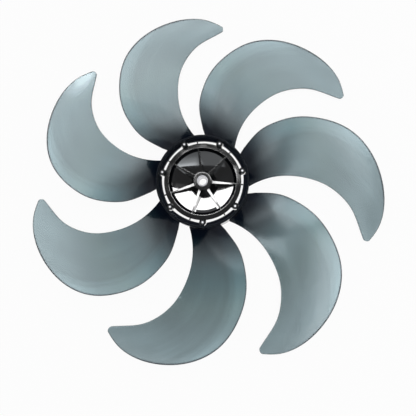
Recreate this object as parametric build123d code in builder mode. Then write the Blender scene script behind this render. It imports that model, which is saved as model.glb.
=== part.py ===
from build123d import *
from math import cos, radians, sin, sqrt
import os

# Axial fan impeller, lying on its front. The origin is on the shaft axis in the front plane and
# +Z points to the rear, towards the motor. Lengths are millimetres and angles are degrees.

# Overall
fan_diameter = 350.0
blade_count = 7
root_angle = 175.0  # middle of the first blade's root, counter-clockwise from +X

# Blades
lead = 205.0  # rise of the blade surface over one full turn
blade_camber = 1.6  # how far the blade bellies towards the front
blade_thickness = 1.8
front_edge_height = 1.5  # the long hollow edge lies nearly flat at this height
front_edge_angle = -16.0  # of the straight inner stretch of that edge, from the middle of the root
root_flare = 0.017  # how fast the blade levels out in front of that stretch, where it widens into the ring
chord_angle = 37.0  # turn from the front edge to the rear edge near the root
sweep_start_radius = 78.0
tip_sweep = 29.5  # how far the blade has leaned back at full radius
surface_margin = 9.0  # the surface is drawn this far past the outline at the root and at the tip
surface_first_turn = -20.0  # and from this turn, in front of the front edge,
surface_last_turn = 48.0  # to this one, behind the rear edge
surface_rows = 10
surface_columns = 9
surface_tolerance = 0.05

# Hub ring that carries the blades
ring_height = 24.0
ring_front_diameter = 93.4
ring_rear_diameter = 88.4
ring_wall = 2.0
ring_edge_radius = 0.5
seat_height = 17.0  # plane of the core's rim, the ring's shelf and the feet of the posts
shelf_thickness = 2.0
shelf_middle_width = 4.9  # from the ring's rear radius in to the shelf's edge, halfway between two posts
shelf_corner_width = 3.9  # and at a post, where a round pocket clears the core's ear

# Posts and screws
post_inset = 5.0  # of the post circle from the ring's rear radius
post_offset_angle = -6.9  # from the middle of each blade's root
post_radius = 3.1
post_height = 6.0
web_width = 2.6
screw_radius = 1.2
screw_length = 7.0
screw_head_radius = 1.9
screw_head_height = 1.3
screw_sink = 0.3  # from the post's end down to the head
recess_length = 2.7
recess_width = 0.6
recess_depth = 0.6
screw_clearance = 0.1

# Hub core
slot_width = 1.9  # between the core and the shelf, halfway between two posts
rim_width = 4.7
rim_depth = 4.4
rim_draft = 2.4  # how far the rim's inner wall leans in on its way down to the bowl
core_edge_radius = 0.4
bowl_radius = 60.0
bowl_thickness = 2.4
collar_radius = 8.6
collar_rise = 1.0  # above the seat
rib_root_width = 2.8
rib_end_width = 1.2
rib_root_drop = 2.5  # of the rib's top below the seat, at the collar
rib_end_drop = 0.8  # and at the rim
ear_radius = 3.1
ear_thickness = 3.0
ear_clearance = 0.5
nib_width = 1.2
nib_thickness = 2.0
nib_clearance = 0.15

# Bush for the shaft
bore_radius = 4.0
bush_wall = 1.4
bush_stand_out = 1.2  # at both ends of the core
bush_chamfer = 0.3
bush_clearance = 0.02

# Balance weight, lying in the bowl against the rim between two ribs
weight_width = 2.4
weight_height = 1.2
weight_span = 40.0
weight_clearance = 0.05

fan_radius = fan_diameter / 2
ring_front_radius = ring_front_diameter / 2
ring_rear_radius = ring_rear_diameter / 2
pitch_angle = 360 / blade_count
post_angle = root_angle + post_offset_angle
rib_angle = root_angle + pitch_angle / 2
post_top = seat_height + post_height
post_circle_radius = ring_rear_radius - post_inset
shelf_middle_radius = ring_rear_radius - shelf_middle_width
shelf_corner_radius = ring_rear_radius - shelf_corner_width
core_radius = shelf_middle_radius - slot_width
rim_inner_radius = core_radius - rim_width
rim_middle_radius = core_radius - rim_width / 2
rib_end_radius = rim_inner_radius + core_edge_radius
bowl_radius_at_rim = rim_inner_radius - rim_draft
collar_top = seat_height + collar_rise
bowl_centre_height = seat_height - rim_depth + sqrt(bowl_radius**2 - bowl_radius_at_rim**2)
nose_height = bowl_centre_height - bowl_radius - bowl_thickness
bush_front = nose_height - bush_stand_out
bush_rear = collar_top + bush_stand_out
bush_radius = bore_radius + bush_wall


def on_circle(radius, angle):
    return (radius * cos(radians(angle)), radius * sin(radians(angle)))


def ring_radius(height):
    return ring_front_radius + (ring_rear_radius - ring_front_radius) * height / ring_height


def bowl_height(radius, depth=0.0):
    """Height of the bowl's inner face, or of a face that lies deeper by the given depth."""
    return bowl_centre_height - sqrt((bowl_radius + depth) ** 2 - radius**2)


# One blade. Its surface is a screw surface with a constant lead, leant back as it nears the tip.
# The outline is given as (share of the span, angle from the middle of the root).
front_edge = [
    (-0.006, -28.4), (0.083, -19.8), (0.194, -16.1), (0.316, -15.9), (0.450, -17.9),
    (0.588, -21.3), (0.709, -26.0), (0.803, -31.0), (0.873, -36.3), (0.928, -40.1),
]
rear_edge = [
    (0.966, -39.8), (0.994, -35.1), (0.998, -27.5), (0.965, -18.8), (0.904, -9.9), (0.800, -0.7),
    (0.642, 7.9), (0.478, 14.7), (0.316, 19.1), (0.151, 20.2), (0.054, 17.8), (-0.043, 11.4),
]


def outline_point(share, angle):
    return on_circle(ring_rear_radius + share * (fan_radius - ring_rear_radius), root_angle + angle)


def blade_point(radius, turn):
    """Point of the blade's middle surface, turned from the front edge towards the rear edge."""
    beyond = max(radius - sweep_start_radius, 0)
    lean_back = tip_sweep * (beyond / (fan_radius - sweep_start_radius)) ** 2
    share = turn / chord_angle
    belly = 4 * blade_camber * share * (1 - share)
    height = front_edge_height + lead * turn / 360 - belly + root_flare * min(turn, 0) ** 2
    return (*on_circle(radius, root_angle + front_edge_angle - lean_back + turn), height)


def even_steps(first, last, count):
    return [first + (last - first) * i / (count - 1) for i in range(count)]


surface_radii = even_steps(ring_rear_radius - surface_margin, fan_radius + surface_margin, surface_rows)
surface_turns = even_steps(surface_first_turn, surface_last_turn, surface_columns)
blade_surface = Face.make_surface_from_array_of_points(
    [[blade_point(radius, turn) for turn in surface_turns] for radius in surface_radii],
    tol=surface_tolerance,
)


with BuildPart() as blade:
    thicken(blade_surface, amount=blade_thickness / 2, both=True)
    with BuildSketch(Plane.XY.offset(-ring_height)):  # below the blade, which the outline cuts through
        with BuildLine():
            front = Spline([outline_point(share, angle) for share, angle in front_edge])
            rear_points = [outline_point(share, angle) for share, angle in rear_edge]
            tip = TangentArc(front @ 1, rear_points[0], tangent=front % 1)
            root_tangent = Vector(*rear_points[-1]) - Vector(*rear_points[-2])
            rear = Spline(rear_points, tangents=[tip % 1, root_tangent])
            Line(rear @ 1, front @ 0)
        make_face()
    extrude(amount=3 * ring_height, mode=Mode.INTERSECT)
    with BuildSketch(Plane.XZ):
        Polygon(
            (0, -ring_height), (ring_radius(-ring_height) - ring_wall / 2, -ring_height),
            (ring_rear_radius - ring_wall / 2, ring_height), (0, ring_height), align=None,
        )
    revolve(axis=Axis.Z, mode=Mode.SUBTRACT)


# The blade ring is one moulding: a tapered ring, the blades on its outside, and inside it a shelf
# with seven nearly straight sides and a post in each corner.
with BuildPart() as blade_ring:
    with BuildSketch(Plane.XZ) as ring_section:
        Polygon(
            (ring_front_radius - ring_wall, 0), (ring_front_radius, 0), (ring_rear_radius, ring_height),
            (ring_rear_radius - ring_wall, ring_height), align=None,
        )
        fillet(ring_section.vertices().group_by(Axis.Y)[-1], radius=ring_edge_radius)
    revolve(axis=Axis.Z)
    with PolarLocations(0, blade_count):
        add(blade.part)

    with BuildSketch(Plane.XY.offset(seat_height - shelf_thickness)):
        Circle(ring_radius(seat_height) - ring_wall / 2)
        with BuildLine():
            for i in range(blade_count):
                corner = post_angle + i * pitch_angle
                ThreePointArc(
                    on_circle(shelf_corner_radius, corner),
                    on_circle(shelf_middle_radius, corner + pitch_angle / 2),
                    on_circle(shelf_corner_radius, corner + pitch_angle),
                )
        make_face(mode=Mode.SUBTRACT)
        with PolarLocations(post_circle_radius, blade_count, start_angle=post_angle):
            Circle(ear_radius + ear_clearance, mode=Mode.SUBTRACT)
    extrude(amount=shelf_thickness)

    with BuildSketch(Plane.XY.offset(seat_height)):
        with PolarLocations(post_circle_radius, blade_count, start_angle=post_angle):
            Circle(post_radius)
            Rectangle(
                ring_radius(post_top) - ring_wall / 2 - post_circle_radius, web_width,
                align=(Align.MIN, Align.CENTER),
            )
    extrude(amount=post_height)
    with Locations(Plane.XY.offset(post_top)):
        with PolarLocations(post_circle_radius, blade_count, start_angle=post_angle):
            CounterBoreHole(
                radius=screw_radius + screw_clearance,
                counter_bore_radius=screw_head_radius + screw_clearance,
                counter_bore_depth=screw_head_height + screw_sink,
                depth=post_height,
            )
blade_ring.part.label = "blade_ring"


# The hub core is a shallow bowl with a rim, a collar for the bush, ribs, screw ears and nibs.
with BuildPart() as ribs:
    with BuildSketch(Plane.XY.offset(nose_height)):
        with PolarLocations(0, blade_count, start_angle=rib_angle):
            Polygon(
                (0, -rib_root_width / 2), (collar_radius, -rib_root_width / 2),
                (rib_end_radius, -rib_end_width / 2), (rib_end_radius, rib_end_width / 2),
                (collar_radius, rib_root_width / 2), (0, rib_root_width / 2), align=None,
            )
    extrude(amount=seat_height)
    with BuildSketch(Plane.XZ):
        with BuildLine():
            middle_depth = bowl_thickness / 2
            underside = ThreePointArc(
                (0, bowl_height(0, middle_depth)),
                (rib_end_radius / 2, bowl_height(rib_end_radius / 2, middle_depth)),
                (rib_end_radius, bowl_height(rib_end_radius, middle_depth)),
            )
            Polyline(
                underside @ 1, (rib_end_radius, seat_height - rib_end_drop),
                (collar_radius, seat_height - rib_root_drop), (0, seat_height - rib_root_drop),
                underside @ 0,
            )
        make_face()
    revolve(axis=Axis.Z, mode=Mode.INTERSECT)

with BuildPart() as hub_core:
    with BuildSketch(Plane.XZ):
        with BuildLine():
            inside = ThreePointArc(
                (0, bowl_height(0)),
                (bowl_radius_at_rim / 2, bowl_height(bowl_radius_at_rim / 2)),
                (bowl_radius_at_rim, bowl_height(bowl_radius_at_rim)),
            )
            outside = ThreePointArc(
                (core_radius, bowl_height(core_radius, bowl_thickness)),
                (core_radius / 2, bowl_height(core_radius / 2, bowl_thickness)),
                (0, nose_height),
            )
            Polyline(inside @ 1, (rim_inner_radius, seat_height), (core_radius, seat_height), outside @ 0)
            Line(outside @ 1, inside @ 0)
        make_face()
    revolve(axis=Axis.Z)
    fillet(hub_core.edges().group_by(Axis.Z)[-1], radius=core_edge_radius)
    with BuildSketch(Plane.XY.offset(bowl_height(0, bowl_thickness / 2))):
        Circle(collar_radius)
    extrude(amount=collar_top - bowl_height(0, bowl_thickness / 2))
    fillet(hub_core.edges().group_by(Axis.Z)[-1], radius=core_edge_radius)
    add(ribs.part)

    with BuildSketch(Plane.XY.offset(seat_height - ear_thickness)):
        with PolarLocations(post_circle_radius, blade_count, start_angle=post_angle):
            Circle(ear_radius)
            Rectangle(
                post_circle_radius - rim_middle_radius, 2 * ear_radius, align=(Align.MAX, Align.CENTER)
            )
    extrude(amount=ear_thickness)
    with BuildSketch(Plane.XY.offset(seat_height - nib_thickness)):
        with PolarLocations(0, blade_count, start_angle=rib_angle):
            with Locations((rim_middle_radius, 0)):
                Rectangle(
                    shelf_middle_radius - nib_clearance - rim_middle_radius, nib_width,
                    align=(Align.MIN, Align.CENTER),
                )
    extrude(amount=nib_thickness)

    with Locations(Plane.XY.offset(seat_height)):
        with PolarLocations(post_circle_radius, blade_count, start_angle=post_angle):
            Hole(radius=screw_radius + screw_clearance / 2, depth=ear_thickness)
    with Locations(Plane.XY.offset(collar_top)):
        Hole(radius=bush_radius + bush_clearance, depth=collar_top)
hub_core.part.label = "hub_core"


with BuildPart() as shaft_bush:
    with BuildSketch(Plane.XY.offset(bush_front)):
        Circle(bush_radius)
        Circle(bore_radius, mode=Mode.SUBTRACT)
    extrude(amount=bush_rear - bush_front)
    ends = shaft_bush.edges().group_by(Axis.Z)
    chamfer(ends[0] + ends[-1], length=bush_chamfer)
shaft_bush.part.label = "shaft_bush"


# The screws go down through the posts into the core's ears.
with BuildPart() as ring_screws:
    head_base = post_top - screw_sink - screw_head_height
    with BuildSketch(Plane.XY.offset(head_base)):
        with PolarLocations(post_circle_radius, blade_count, start_angle=post_angle):
            Circle(screw_head_radius)
    extrude(amount=screw_head_height)
    with BuildSketch(Plane.XY.offset(head_base)):
        with PolarLocations(post_circle_radius, blade_count, start_angle=post_angle):
            Circle(screw_radius)
    extrude(amount=-screw_length)
    with BuildSketch(Plane.XY.offset(head_base + screw_head_height)):
        with PolarLocations(post_circle_radius, blade_count, start_angle=post_angle):
            Rectangle(recess_length, recess_width)
            Rectangle(recess_width, recess_length)
    extrude(amount=-recess_depth, mode=Mode.SUBTRACT)
ring_screws.part.label = "ring_screws"


with BuildPart() as balance_weight:
    weight_outer = bowl_radius_at_rim - weight_clearance
    weight_inner = weight_outer - weight_width
    weight_middle = (weight_inner + weight_outer) / 2
    weight_top = bowl_height(weight_outer) + weight_height
    start_plane = Plane.XZ.rotated((0, 0, rib_angle + 1.5 * pitch_angle - weight_span / 2))
    with BuildSketch(start_plane):
        with BuildLine():
            underside = ThreePointArc(
                (weight_inner, bowl_height(weight_inner, -weight_clearance)),
                (weight_middle, bowl_height(weight_middle, -weight_clearance)),
                (weight_outer, bowl_height(weight_outer, -weight_clearance)),
            )
            Polyline(underside @ 1, (weight_outer, weight_top), (weight_inner, weight_top), underside @ 0)
        make_face()
    revolve(axis=Axis.Z, revolution_arc=weight_span)
balance_weight.part.label = "balance_weight"


os.makedirs("parts", exist_ok=True)
for piece in (blade_ring, hub_core, shaft_bush, ring_screws, balance_weight):
    export_step(piece.part, f"parts/{piece.part.label}.step")
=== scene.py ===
import bmesh
import bpy
from math import cos, pi, radians, sin
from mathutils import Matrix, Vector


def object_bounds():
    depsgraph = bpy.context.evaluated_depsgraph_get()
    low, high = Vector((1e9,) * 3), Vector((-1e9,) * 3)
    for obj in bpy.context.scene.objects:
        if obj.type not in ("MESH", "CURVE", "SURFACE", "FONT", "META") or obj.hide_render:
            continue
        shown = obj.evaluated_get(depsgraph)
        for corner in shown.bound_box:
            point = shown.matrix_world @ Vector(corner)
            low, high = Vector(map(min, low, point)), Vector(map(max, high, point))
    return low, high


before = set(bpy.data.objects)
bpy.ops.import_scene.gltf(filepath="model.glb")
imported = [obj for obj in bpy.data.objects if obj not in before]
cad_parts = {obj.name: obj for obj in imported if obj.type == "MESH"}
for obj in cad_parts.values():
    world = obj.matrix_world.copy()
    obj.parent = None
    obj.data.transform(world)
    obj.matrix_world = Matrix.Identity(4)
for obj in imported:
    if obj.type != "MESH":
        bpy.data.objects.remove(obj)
cadLow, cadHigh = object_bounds()
print("frame loaded:", ", ".join(sorted(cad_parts)))

scene = bpy.context.scene
scene.view_settings.view_transform = "Standard"
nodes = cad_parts


# Small helpers for node trees

bevelSamples = 6


def newMaterial(name):
    material = bpy.data.materials.new(name)
    material.use_nodes = True
    tree = material.node_tree
    tree.nodes.clear()
    output = tree.nodes.new("ShaderNodeOutputMaterial")
    return material, tree, output


def link(tree, value, socket):
    if isinstance(value, bpy.types.NodeSocket):
        tree.links.new(value, socket)
    else:
        socket.default_value = value


def addNode(tree, kind, **values):
    node = tree.nodes.new(kind)
    for name, value in values.items():
        link(tree, value, node.inputs[name.replace("_", " ")])
    return node


def addMath(tree, operation, *values, clamp=False):
    node = tree.nodes.new("ShaderNodeMath")
    node.operation = operation
    node.use_clamp = clamp
    for socket, value in zip(node.inputs, values):
        link(tree, value, socket)
    return node.outputs[0]


def addVector(tree, operation, *values):
    node = tree.nodes.new("ShaderNodeVectorMath")
    node.operation = operation
    for socket, value in zip(node.inputs, values):
        link(tree, value, socket)
    return node


def addRamp(tree, factor, stops):
    node = tree.nodes.new("ShaderNodeValToRGB")
    elements = node.color_ramp.elements
    while len(elements) < len(stops):
        elements.new(1.0)
    for element, (place, colour) in zip(elements, stops):
        element.position = place
        element.color = colour
    tree.links.new(factor, node.inputs[0])
    return node.outputs[0]


def addRange(tree, value, fromLow, fromHigh, toLow=0.0, toHigh=1.0):
    node = addNode(
        tree, "ShaderNodeMapRange", Value=value, From_Min=fromLow, From_Max=fromHigh,
        To_Min=toLow, To_Max=toHigh,
    )
    node.interpolation_type = "SMOOTHSTEP"
    return node.outputs[0]


def addMix(tree, factor, first, second, blend="MIX"):
    node = tree.nodes.new("ShaderNodeMix")
    node.data_type = "RGBA"
    node.blend_type = blend
    for place, value in ((0, factor), (6, first), (7, second)):  # this node's sockets for colours
        link(tree, value, node.inputs[place])
    return node.outputs[2]


def addMixShader(tree, share, first, second):
    node = tree.nodes.new("ShaderNodeMixShader")
    for socket, value in zip(node.inputs, (share, first.outputs[0], second.outputs[0])):
        tree.links.new(value, socket)
    return node


def addNoise(tree, point, scale, detail):
    return addNode(tree, "ShaderNodeTexNoise", Vector=point, Scale=scale, Detail=detail).outputs[0]


def addBump(tree, height, strength, distance, normal=None):
    bump = addNode(tree, "ShaderNodeBump", Height=height, Strength=strength, Distance=distance)
    if normal is not None:
        tree.links.new(normal, bump.inputs["Normal"])
    return bump.outputs[0]


def addBevel(tree, width):
    bevel = tree.nodes.new("ShaderNodeBevel")
    bevel.samples = bevelSamples
    link(tree, width, bevel.inputs["Radius"])
    return bevel.outputs[0]


def objectPoint(tree):
    return tree.nodes.new("ShaderNodeTexCoord").outputs["Object"]


def axisDistance(tree, point):
    flat = addVector(tree, "MULTIPLY", point, (1.0, 1.0, 0.0)).outputs[0]
    return addVector(tree, "LENGTH", flat).outputs["Value"]


def dress(name, material):
    slots = nodes[name].data.materials
    slots.clear()
    slots.append(material)


plasticIndex = 1.5  # how far plastic bends light


# Blade ring: smoky plastic that lets light through, darker towards the shaft, partly where the moulding is
# thicker and partly by painted shade of the floor shadowed under the hub

smokyPlastic = {
    "shadedTones": [  # distance from the shaft in metres, colour; the dark colours near the shaft hold painted shade
        (0.046, (0.002, 0.003, 0.006, 1.0)),
        (0.054, (0.002, 0.004, 0.008, 1.0)),
        (0.070, (0.010, 0.023, 0.030, 1.0)),
        (0.085, (0.032, 0.068, 0.080, 1.0)),
        (0.100, (0.052, 0.102, 0.114, 1.0)),
        (0.120, (0.090, 0.142, 0.148, 1.0)),
        (0.140, (0.112, 0.162, 0.175, 1.0)),
        (0.160, (0.160, 0.225, 0.245, 1.0)),
        (0.175, (0.180, 0.245, 0.265, 1.0)),
    ],
    "roughness": 0.11,
    "rearSheenHeight": (0.0143, 0.0158),  # painted sheen: the blades' colour is made lighter towards their high rear edge
    "rearSheen": (1.0, 1.5),
    "streaks": (330.0, 16.0, 2.5),  # across the blade, along it, and from blade to blade
    "streakNoise": (1.0, 3.0),  # scale and detail
    "cloudNoise": (24.0, 4.0),
    "cloudShare": 0.4,  # the rest is streaks
    "mottleFrom": (0.3, 0.7),
    "mottle": (0.84, 1.16),  # darkest and lightest
    "edgeWidth": 0.0017,
    "edgeTurn": (0.996, 0.97),  # cosines of the turn where an edge begins and where it is full
    "edgeHeight": (0.008, 0.011),  # only the rear edges, above this height, get a painted dark shade
    "edgeShadeTone": (0.004, 0.006, 0.010, 1.0),
    "edgeRoughness": 0.65,
    "glossFrom": (0.048, 0.078),  # distances from the shaft
    "gloss": (0.12, 1.0),  # strength up to the first distance, a painted shade that dims the gloss near the hub, and from the second on
    "roundFrom": (0.045, 0.048),
    "round": (0.0004, 0.0012),  # rounding of the hub ring's edges and of the blades'
    "rippleNoise": (30.0, 1.0),
    "rippleBump": (0.05, 0.002),  # strength and height
}


def addMottle(tree, point, height, distance, look):
    across, along, between = look["streaks"]
    flat = addVector(tree, "MULTIPLY", point, (between, between, 0.0)).outputs[0]
    lines = addNode(
        tree, "ShaderNodeCombineXYZ", X=addMath(tree, "MULTIPLY", height, across),
        Y=addMath(tree, "MULTIPLY", distance, along),
    ).outputs[0]
    streak = addNoise(tree, addVector(tree, "ADD", flat, lines).outputs[0], *look["streakNoise"])
    cloud = addNoise(tree, point, *look["cloudNoise"])
    cloud = addMath(tree, "MULTIPLY", cloud, look["cloudShare"])
    flow = addMath(tree, "MULTIPLY_ADD", streak, 1.0 - look["cloudShare"], cloud)
    return addRange(tree, flow, *look["mottleFrom"], *look["mottle"])


# Mask of the blades' high rear edges, which get a painted dark shade in their colour and a rougher gloss.
def addShadedEdge(tree, height, look):
    plain = tree.nodes.new("ShaderNodeNewGeometry").outputs["Normal"]
    rounded = addBevel(tree, look["edgeWidth"])
    facing = addVector(tree, "DOT_PRODUCT", rounded, plain).outputs["Value"]
    edge = addRange(tree, facing, *look["edgeTurn"])
    return addMath(tree, "MULTIPLY", edge, addRange(tree, height, *look["edgeHeight"]))


def makeSmokyPlastic(look):
    material, tree, output = newMaterial("smokyPlastic")
    point = objectPoint(tree)
    height = addNode(tree, "ShaderNodeSeparateXYZ", Vector=point).outputs["Z"]
    distance = axisDistance(tree, point)
    reach = look["shadedTones"][-1][0]
    share = addMath(tree, "DIVIDE", distance, reach, clamp=True)
    # the colour ramp carries painted shade near the shaft as well as the plastic's own tone
    body = addRamp(tree, share, [(place / reach, tone) for place, tone in look["shadedTones"]])
    tone = addMottle(tree, point, height, distance, look)
    # painted sheen: the colour lightens towards the blades' high rear edge
    rear = addRange(tree, height, *look["rearSheenHeight"], *look["rearSheen"])
    body = addMix(tree, 1.0, body, addMath(tree, "MULTIPLY", tone, rear), "MULTIPLY")
    edge = addShadedEdge(tree, height, look)
    rounding = addRange(tree, distance, *look["roundFrom"], *look["round"])
    ripple = addNoise(tree, point, *look["rippleNoise"])
    # painted shade on the gloss: reflections are dimmed near the hub
    gloss = addRange(tree, distance, *look["glossFrom"], *look["gloss"])
    # The colour holds the painted shade near the shaft, the painted sheen and the painted dark rear edges.
    shader = addNode(
        tree, "ShaderNodeBsdfPrincipled", IOR=plasticIndex, Transmission_Weight=1.0,
        Base_Color=addMix(tree, edge, body, look["edgeShadeTone"]),
        Roughness=addRange(tree, edge, 0.0, 1.0, look["roughness"], look["edgeRoughness"]),
        Normal=addBump(tree, ripple, *look["rippleBump"], addBevel(tree, rounding)),
        Specular_Tint=addNode(tree, "ShaderNodeCombineColor", Red=gloss, Green=gloss, Blue=gloss).outputs[0],
    )
    tree.links.new(shader.outputs[0], output.inputs["Surface"])
    return material


dress("blade_ring", makeSmokyPlastic(smokyPlastic))
print("blade ring finished")


# Hub core: opaque black moulding, polished

blackPlastic = {
    "tone": (0.0010, 0.0013, 0.0020, 1.0),
    "worn": (0.0035, 0.0040, 0.0055, 1.0),
    "cloudNoise": (90.0, 4.0),  # scale and detail
    "cloudFrom": (0.35, 0.75),
    "roughness": 0.05,
    "wornRoughness": 0.05,  # comes on top where the plastic is worn
    "mirror": 0.2,  # a weak mirror, so that the plastic stays black in the white room
    "edgeWidth": 0.0003,
    "rippleNoise": (120.0, 2.0),
    "rippleBump": (0.02, 0.0006),  # strength and height
}


def makeBlackPlastic(look):
    material, tree, output = newMaterial("blackPlastic")
    point = objectPoint(tree)
    cloud = addRange(tree, addNoise(tree, point, *look["cloudNoise"]), *look["cloudFrom"])
    ripple = addNoise(tree, point, *look["rippleNoise"])
    shader = addNode(
        tree, "ShaderNodeBsdfPrincipled", IOR=plasticIndex, Specular_IOR_Level=look["mirror"],
        Base_Color=addMix(tree, cloud, look["tone"], look["worn"]),
        Roughness=addMath(tree, "MULTIPLY_ADD", cloud, look["wornRoughness"], look["roughness"]),
        Normal=addBump(tree, ripple, *look["rippleBump"], addBevel(tree, look["edgeWidth"])),
    )
    tree.links.new(shader.outputs[0], output.inputs["Surface"])
    return material


dress("hub_core", makeBlackPlastic(blackPlastic))
print("hub core finished")


# Shaft bush, screws and balance weight

turnedMetal = {
    "tone": (0.55, 0.55, 0.58, 1.0),
    "roughness": 0.24,
    "grooves": 5200.0,  # the tool marks run round the shaft, and a higher number makes them finer
}
screwSteel = {
    "tone": (0.72, 0.73, 0.76, 1.0),
    "roughness": 0.32,
    "grooves": 7600.0,
    "count": 7,
    "firstAngle": 168.1,
    "circle": 0.0392,
    "headShadeFrom": (0.0006, 0.0012),  # the head keeps its bright steel in its middle and gets painted shade towards its edge
    "headShadeLevels": (1.0, 0.08),
}
metalFinish = {
    "smudgeNoise": (260.0, 4.0),  # scale and detail
    "smudgeFrom": (0.3, 0.7),
    "smudge": (0.78, 1.05),  # darkest and lightest
    "grooveBump": (0.10, 0.00005),  # strength and height
    "edgeWidth": 0.0003,
}
weightRubber = {
    "tone": (0.016, 0.017, 0.020, 1.0),
    "fleck": (0.030, 0.032, 0.036, 1.0),
    "roughness": 0.55,
    "grainNoise": (900.0, 3.0),
    "grainFrom": (0.3, 0.8),
    "grainBump": (0.3, 0.0002),
}


# Turns every screw onto the same place, and shades it by the distance from its own middle.
def screwShade(tree, point, look):
    parts = addNode(tree, "ShaderNodeSeparateXYZ", Vector=point).outputs
    angle = addMath(tree, "ARCTAN2", parts["Y"], parts["X"])
    angle = addMath(tree, "SUBTRACT", angle, radians(look["firstAngle"]))
    halfPitch = pi / look["count"]
    turn = addMath(tree, "WRAP", angle, halfPitch, -halfPitch)
    reach = axisDistance(tree, point)
    outward = addMath(tree, "MULTIPLY", reach, addMath(tree, "COSINE", turn))
    across = addMath(tree, "SUBTRACT", outward, look["circle"])
    along = addMath(tree, "MULTIPLY", reach, addMath(tree, "SINE", turn))
    spot = addNode(tree, "ShaderNodeCombineXYZ", X=across, Y=along).outputs[0]
    return addRange(tree, axisDistance(tree, spot), *look["headShadeFrom"], *look["headShadeLevels"])


def makeMetal(name, look, finish, shade=None):
    material, tree, output = newMaterial(name)
    point = objectPoint(tree)
    wave = addMath(tree, "MULTIPLY", axisDistance(tree, point), look["grooves"])
    grooves = addMath(tree, "SINE", wave)
    smudge = addNoise(tree, point, *finish["smudgeNoise"])
    smudge = addRange(tree, smudge, *finish["smudgeFrom"], *finish["smudge"])
    if shade:
        # painted shade on each screw head, darker towards its edge
        smudge = addMath(tree, "MULTIPLY", smudge, shade(tree, point, look))
    shader = addNode(
        tree, "ShaderNodeBsdfPrincipled", Metallic=1.0, Roughness=look["roughness"],
        Base_Color=addMix(tree, 1.0, look["tone"], smudge, "MULTIPLY"),
        Normal=addBump(tree, grooves, *finish["grooveBump"], addBevel(tree, finish["edgeWidth"])),
    )
    tree.links.new(shader.outputs[0], output.inputs["Surface"])
    return material


def makeRubber(look):
    material, tree, output = newMaterial("weightRubber")
    grain = addNoise(tree, objectPoint(tree), *look["grainNoise"])
    flecks = addRange(tree, grain, *look["grainFrom"])
    shader = addNode(
        tree, "ShaderNodeBsdfPrincipled", Roughness=look["roughness"],
        Base_Color=addMix(tree, flecks, look["tone"], look["fleck"]),
        Normal=addBump(tree, grain, *look["grainBump"]),
    )
    tree.links.new(shader.outputs[0], output.inputs["Surface"])
    return material


dress("shaft_bush", makeMetal("turnedMetal", turnedMetal, metalFinish))
dress("ring_screws", makeMetal("screwSteel", screwSteel, metalFinish, screwShade))
dress("balance_weight", makeRubber(weightRubber))
print("bush, screws and weight finished")


# Floor and room

room = {
    "floorSize": 6.0,
    "floorGap": 0.0002,  # the floor lies this far below the part
    "floorTone": (0.82, 0.82, 0.82, 1.0),
    "brightShare": 0.94,  # how far the floor shows as plain white
    "white": (1.0, 1.0, 1.0, 1.0),
    "whiteStrength": 1.0,
    "plain": 0.7,  # light from all round
}


# The camera, clear plastic and gloss all see the white surroundings.
def seenRays(tree):
    path = tree.nodes.new("ShaderNodeLightPath").outputs
    seen = addMath(tree, "MAXIMUM", path["Is Camera Ray"], path["Is Transmission Ray"])
    return addMath(tree, "MAXIMUM", seen, path["Is Glossy Ray"])


def makeFloor(look):
    shape = bmesh.new()
    bmesh.ops.create_grid(shape, x_segments=1, y_segments=1, size=look["floorSize"] / 2)
    mesh = bpy.data.meshes.new("floor")
    shape.to_mesh(mesh)
    shape.free()
    floor = bpy.data.objects.new("floor", mesh)
    floor.location.z = cadLow.z - look["floorGap"]
    scene.collection.objects.link(floor)
    material, tree, output = newMaterial("paleFloor")
    diffuse = addNode(tree, "ShaderNodeBsdfDiffuse", Color=look["floorTone"])
    glow = addNode(tree, "ShaderNodeEmission", Color=look["white"], Strength=look["whiteStrength"])
    share = addMath(tree, "MULTIPLY", seenRays(tree), look["brightShare"])
    mix = addMixShader(tree, share, diffuse, glow)
    tree.links.new(mix.outputs[0], output.inputs["Surface"])
    mesh.materials.append(material)


def makeWorld(look):
    world = bpy.data.worlds.new("studio")
    scene.world = world
    world.use_nodes = True
    tree = world.node_tree
    tree.nodes.clear()
    output = tree.nodes.new("ShaderNodeOutputWorld")
    around = addNode(tree, "ShaderNodeBackground", Color=look["white"], Strength=look["plain"])
    seen = addNode(tree, "ShaderNodeBackground", Color=look["white"], Strength=look["whiteStrength"])
    mix = addMixShader(tree, seenRays(tree), around, seen)
    tree.links.new(mix.outputs[0], output.inputs["Surface"])


makeFloor(room)
makeWorld(room)
print("floor and room set")


# Lamps: level panels overhead that face down. Their places and spans are tangents of the angle from
# overhead, so that they hold at any height. The key lamp lights everything. The other panels show
# only in the gloss of the pieces that they are on.

keyLamp = {"toward": (0.6, 0.5), "span": (0.7, 0.6), "height": 1.0, "glow": 1.2}

cards = {
    "moon": {
        "toward": (0.0, 2.17), "span": (6.0, 3.5), "height": 3.0, "glow": 75.0, "on": ["hub_core"],
    },
    "ribRight": {
        "toward": (-0.131, 0.122), "span": (0.066, 0.034), "height": 8.0, "glow": 75.0, "on": ["hub_core"],
    },
    "ribLeft": {
        "toward": (0.020, 0.134), "span": (0.070, 0.040), "height": 8.0, "glow": 75.0, "on": ["hub_core"],
    },
    "ribLow": {
        "toward": (-0.067, 0.180), "span": (0.110, 0.060), "height": 7.9, "glow": 75.0, "on": ["hub_core"],
    },
    "bush": {
        "toward": (0.0, 0.0), "span": (2.0, 2.0), "height": 3.0, "glow": 0.1, "on": ["shaft_bush"],
    },
    "screws": {
        "toward": (0.0, 0.0), "span": (2.0, 2.0), "height": 3.0, "glow": 0.6, "on": ["ring_screws"],
    },
}

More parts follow.
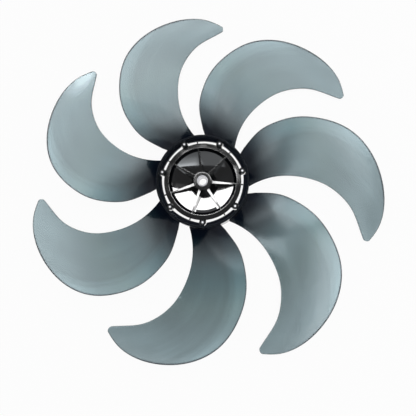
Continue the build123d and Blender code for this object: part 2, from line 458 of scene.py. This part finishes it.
# The panel over the blades is lit unevenly. Each patch is bounded by edges, and an edge is
# (azimuth of its lit side, offset from overhead, softness).
bladeSky = {
    "reach": 2.4,
    "height": 8.0,
    "tint": (0.86, 1.0, 1.05, 1.0),
    "glow": 2.9,
    "eye": (-0.058, 0.108),  # the middle of a dark place, which the flat faces mirror
    "from": (0.165, 0.24),  # the panel comes up from dark at this distance from it
    "to": (0.9, 1.8),  # and fades again this far from overhead
    "toLight": (1.0, 0.3),
    "bright": [
        {"edges": [(90.0, 0.30, 0.10), (0.0, -0.35, 0.15)], "glow": 1.6},
        {
            "edges": [(0.0, 0.20, 0.06), (90.0, -0.47, 0.05), (-90.0, -0.10, 0.08), (180.0, -0.66, 0.08)],
            "glow": 1.3,
        },
    ],
    "dark": [
        {"edges": [(193.0, 0.12, 0.06), (-90.0, -0.28, 0.10), (58.5, -1.0, 0.10)], "glow": -0.86},
        {"edges": [(0.0, 0.15, 0.08), (-90.0, 0.43, 0.10), (180.0, -0.62, 0.10)], "glow": -0.6},
        {"edges": [(180.0, 0.40, 0.15), (90.0, 0.28, 0.10)], "glow": -0.2},
    ],
    "spots": [  # bright beyond all the rest, for the light bands and the glints at the tips
        {
            "edges": [(198.0, 0.385, 0.025), (0.0, -0.48, 0.03), (90.0, -0.60, 0.04), (-90.0, 0.02, 0.04)],
            "glow": 5.5,
        },
        {"edges": [(0.0, -0.19, 0.025), (-90.0, 0.59, 0.03), (180.0, -0.05, 0.05)], "glow": 5.5},
        {
            "edges": [(246.0, 0.275, 0.03), (0.0, -0.13, 0.04), (180.0, -0.36, 0.06), (90.0, -0.46, 0.03)],
            "glow": 3.0,
        },
        {
            "edges": [(90.0, 0.27, 0.03), (-90.0, -0.335, 0.02), (0.0, 0.05, 0.03), (180.0, -0.17, 0.03)],
            "glow": 22.0,
        },
    ],
}

# The bowl mirrors a soft patch of light, brightest along its near edge.
bowlSky = {
    "reach": 1.5,
    "height": 3.0,
    "tint": (0.95, 1.0, 1.04, 1.0),
    "glow": 0.0,
    "bright": [
        {
            "edges": [(-90.0, 0.43, 0.01), (90.0, -1.15, 0.25), (0.0, -0.95, 0.10), (180.0, -1.3, 0.2)],
            "glow": 4.0,
        },
        {
            "edges": [(-90.0, 0.43, 0.01), (90.0, -0.72, 0.22), (0.0, 0.12, 0.10), (180.0, -1.3, 0.2)],
            "glow": 8.5,
        },
        {
            "edges": [(-90.0, 0.43, 0.01), (90.0, -0.52, 0.09), (0.0, 0.12, 0.30), (180.0, -1.4, 0.2)],
            "glow": 15.0,
        },
    ],
}


def makePanel(name, toward, span, height, glow):
    lamp = bpy.data.lights.new(name, "AREA")
    lamp.shape = "RECTANGLE"
    lamp.size = span[0] * height
    lamp.size_y = span[1] * height
    lamp.energy = glow * pi * lamp.size * lamp.size_y
    panel = bpy.data.objects.new(name, lamp)
    panel.location = (toward[0] * height, toward[1] * height, height)
    panel.visible_camera = False
    scene.collection.objects.link(panel)
    return panel


def keepFor(panel, pieces):
    receivers = bpy.data.collections.new(panel.name + "Receivers")
    for piece in pieces:
        receivers.objects.link(nodes[piece])
    panel.light_linking.receiver_collection = receivers
    panel.visible_diffuse = False
    panel.visible_transmission = False


def addPatch(tree, across, along, patch):
    share = 1.0
    for azimuth, offset, softness in patch["edges"]:
        place = addMath(tree, "MULTIPLY", across, cos(radians(azimuth)))
        place = addMath(tree, "MULTIPLY_ADD", along, sin(radians(azimuth)), place)
        edge = addRange(tree, place, offset - softness, offset + softness)
        share = addMath(tree, "MULTIPLY", edge, share)
    return addMath(tree, "MULTIPLY", share, patch["glow"])


def addEye(tree, place, level, look):
    toEye = tuple(-part * look["height"] for part in (*look["eye"], 0.0))
    fromEye = axisDistance(tree, addVector(tree, "ADD", place, toEye).outputs[0])
    rise = addRange(tree, addMath(tree, "DIVIDE", fromEye, look["height"]), *look["from"])
    distance = addMath(tree, "DIVIDE", axisDistance(tree, place), look["height"])
    fall = addRange(tree, distance, *look["to"], *look["toLight"])
    return addMath(tree, "MULTIPLY", level, addMath(tree, "MULTIPLY", rise, fall))


def makeSky(name, look, pieces):
    span = 2 * look["reach"]
    panel = makePanel(name, (0.0, 0.0), (span, span), look["height"], 1.0)
    keepFor(panel, pieces)
    panel.data.use_nodes = True
    tree = panel.data.node_tree
    tree.nodes.clear()
    output = tree.nodes.new("ShaderNodeOutputLight")
    place = tree.nodes.new("ShaderNodeNewGeometry").outputs["Position"]
    parts = addNode(tree, "ShaderNodeSeparateXYZ", Vector=place).outputs
    across = addMath(tree, "DIVIDE", parts["X"], look["height"])
    along = addMath(tree, "DIVIDE", parts["Y"], look["height"])
    level = look["glow"]
    for patch in look["bright"]:
        level = addMath(tree, "ADD", addPatch(tree, across, along, patch), level)
    for patch in look.get("dark", []):
        shade = addMath(tree, "ADD", addPatch(tree, across, along, patch), 1.0)
        level = addMath(tree, "MULTIPLY", shade, level)
    for patch in look.get("spots", []):
        level = addMath(tree, "ADD", level, addPatch(tree, across, along, patch))
    if "eye" in look:
        level = addEye(tree, place, level, look)
    glow = addNode(tree, "ShaderNodeEmission", Color=look["tint"], Strength=level)
    tree.links.new(glow.outputs[0], output.inputs["Surface"])


makePanel("key", **keyLamp)
for name, card in cards.items():
    panel = makePanel(name, card["toward"], card["span"], card["height"], card["glow"])
    keepFor(panel, card["on"])
makeSky("bladeSky", bladeSky, ["blade_ring"])
makeSky("bowlSky", bowlSky, ["hub_core"])
print("light set")


# Camera over the part, as in the photograph

view = {
    "place": (0.0171, -0.0313, 0.3046),
    "pitch": 7.52,
    "roll": 2.33,
    "lens": 25.96,
    "sensor": 36.0,
    "shiftUp": -0.0813,
    "nearest": 0.01,
}

camera = bpy.data.objects.new("camera", bpy.data.cameras.new("camera"))
camera.data.lens = view["lens"]
camera.data.sensor_width = view["sensor"]
camera.data.shift_y = view["shiftUp"]
camera.data.clip_start = view["nearest"]
camera.location = view["place"]
camera.rotation_mode = "YXZ"
camera.rotation_euler = (radians(view["pitch"]), radians(view["roll"]), 0.0)
scene.collection.objects.link(camera)
scene.camera = camera
print("camera set")
